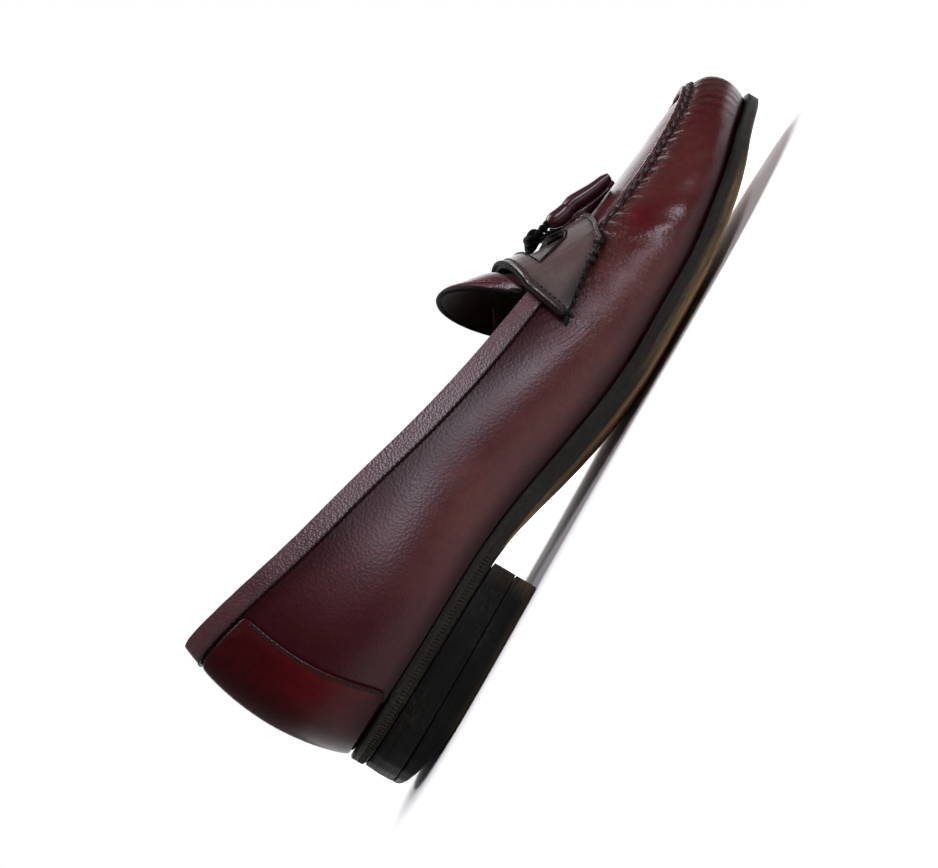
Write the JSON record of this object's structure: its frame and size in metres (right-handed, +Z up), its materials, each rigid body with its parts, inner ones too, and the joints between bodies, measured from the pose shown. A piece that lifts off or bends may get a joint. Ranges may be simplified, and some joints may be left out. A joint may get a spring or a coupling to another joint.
{
  "type": "tassel loafer",
  "caption": "Low slip-on leather shoe with moccasin apron seam, windowed saddle strap, laced tassels, heel foxing and a stacked heel.",
  "frame": {"origin": "point of the flat underside of the heel, on the shoe's long axis, 47.5 mm in front of the back of the sole", "axes": "+X towards the toe, +Y towards the inner side of the foot, +Z up from the floor"},
  "size_m": [0.2923, 0.0962, 0.0876],
  "materials": {
    "upper_leather": "polished burgundy",
    "strap_leather": "dark burgundy satin",
    "lace": "twisted black leather lace",
    "sole_leather": "black inked edge",
    "insole_leather": "plain tan",
    "top_lift_rubber": "matt black"
  },
  "bodies": {
    "root": {"upper": "upper_leather", "collar_strip": "upper_leather", "heel_foxing": "upper_leather", "saddle_strap": "strap_leather", "tongue": "strap_leather", "tassel_near": "strap_leather", "tassel_far": "strap_leather", "lace_knot": "lace", "lace_near": "lace", "lace_far": "lace", "outsole": "sole_leather", "insole": "insole_leather", "heel_stack": "sole_leather", "top_lift": "top_lift_rubber"}
  },
  "joints": []
}
